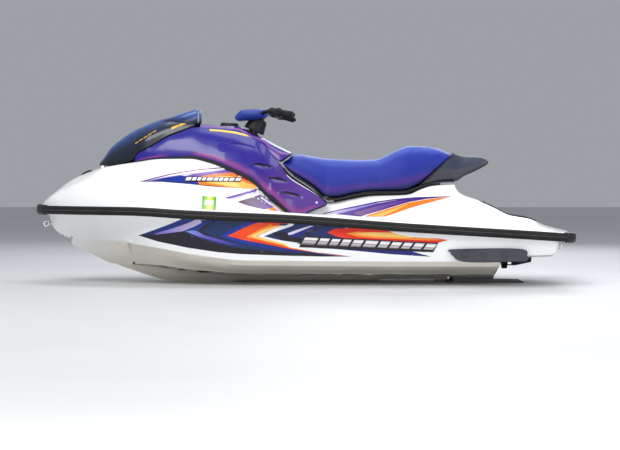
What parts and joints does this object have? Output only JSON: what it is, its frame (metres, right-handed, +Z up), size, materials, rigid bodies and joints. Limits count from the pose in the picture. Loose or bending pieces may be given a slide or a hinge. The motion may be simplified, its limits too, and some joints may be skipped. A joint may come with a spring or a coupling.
{
  "type": "personal watercraft",
  "caption": "Sit-down personal watercraft with moulded hull and deck, opening bow hood, lift-off saddle seat, steered jet pump and padded handlebar.",
  "frame": {"origin": "on the floor that the keel and ride plate stand on, under the middle of the craft's length and beam", "axes": "+X towards the stern, -X towards the bow, -Y to port, +Z up"},
  "size_m": [2.9298, 1.15, 0.9568],
  "materials": {
    "white_gelcoat": "white gelcoat, polished",
    "black_rubber": "matt black rubber",
    "black_plastic": "black moulded plastic, fine grain",
    "blue_gloss": "royal blue metallic with a violet sheen",
    "navy_gloss": "dark navy, glossy",
    "mirror": "silvered glass",
    "engine_paint": "dark grey engine paint",
    "deck_mat": "grooved foam mat, dark grey",
    "charcoal_plastic": "charcoal moulded plastic",
    "stainless": "stainless steel",
    "cast_aluminium": "cast aluminium, dark grey paint",
    "blue_vinyl": "royal blue marine vinyl",
    "navy_vinyl": "dark navy marine vinyl",
    "bar_coating": "black powder coat"
  },
  "bodies": {
    "craft": {"lower_hull": "white_gelcoat", "deck": "white_gelcoat", "rub_rail": "black_rubber", "bow_bumper": "black_rubber", "stern_bumpers": "black_rubber", "storage_bin": "black_plastic", "side_cover_port": "blue_gloss", "side_cover_starboard": "blue_gloss", "console_top": "blue_gloss", "instrument_display": "black_plastic", "steering_bearing": "black_plastic", "hatch_gasket": "black_rubber", "engine_block": "engine_paint", "engine_mounts": "black_rubber", "fuel_cap": "black_plastic", "pilot_outlet": "black_plastic", "footwell_mat_port": "deck_mat", "footwell_mat_starboard": "deck_mat", "rear_deck_mat": "deck_mat", "sponson_port": "charcoal_plastic", "sponson_starboard": "charcoal_plastic", "bow_eye": "stainless", "stern_eyes": "stainless", "drain_plugs": "black_plastic", "ride_plate": "cast_aluminium", "intake_grate": "cast_aluminium", "pump_housing": "cast_aluminium", "stator": "cast_aluminium", "pump_nozzle": "cast_aluminium", "hood_hinge": "stainless"},
    "hood": {"hood": "navy_gloss", "mirror_glasses": "mirror"},
    "seat": {"seat_base": "black_plastic", "seat_cushion": "blue_vinyl", "seat_tail": "navy_vinyl"},
    "handlebar_assembly": {"steering_column": "black_plastic", "handlebar": "bar_coating", "bar_pad": "blue_vinyl", "grips": "black_rubber", "switch_housing": "black_plastic", "throttle_housing": "black_plastic", "throttle_lever": "black_plastic"},
    "impeller_shaft": {"drive_shaft": "stainless", "impeller": "stainless"},
    "trim_ring": {"trim_ring": "cast_aluminium"},
    "steering_nozzle": {"steering_nozzle": "cast_aluminium"}
  },
  "joints": [
    {"name": "hood_hinge", "type": "hinge", "parent": "craft", "child": "hood", "pos_m": [-1.098, 0, 0.656], "axis": [0, -1, 0], "range_deg": [0, 50]},
    {"name": "seat_lift", "type": "slide", "parent": "craft", "child": "seat", "axis": [0.8829, 0, 0.4695], "range_m": [0, 0.35]},
    {"name": "handlebar_steer", "type": "hinge", "parent": "craft", "child": "handlebar_assembly", "pos_m": [-0.232, 0, 0.9], "axis": [0.4226, 0, 0.9063], "range_deg": [-20, 20]},
    {"name": "impeller_spin", "type": "hinge", "parent": "craft", "child": "impeller_shaft", "pos_m": [0.9, 0, 0.152], "axis": [1, 0, 0], "continuous": true},
    {"name": "nozzle_trim", "type": "hinge", "parent": "craft", "child": "trim_ring", "pos_m": [1.1243, 0, 0.152], "axis": [0, 1, 0], "range_deg": [-8, 8]},
    {"name": "nozzle_steer", "type": "hinge", "parent": "trim_ring", "child": "steering_nozzle", "pos_m": [1.1243, 0, 0.152], "axis": [0, 0, 1], "range_deg": [-20, 20]}
  ],
  "couplings": [
    {"joint": "nozzle_steer", "follows": "handlebar_steer", "ratio": -1}
  ]
}
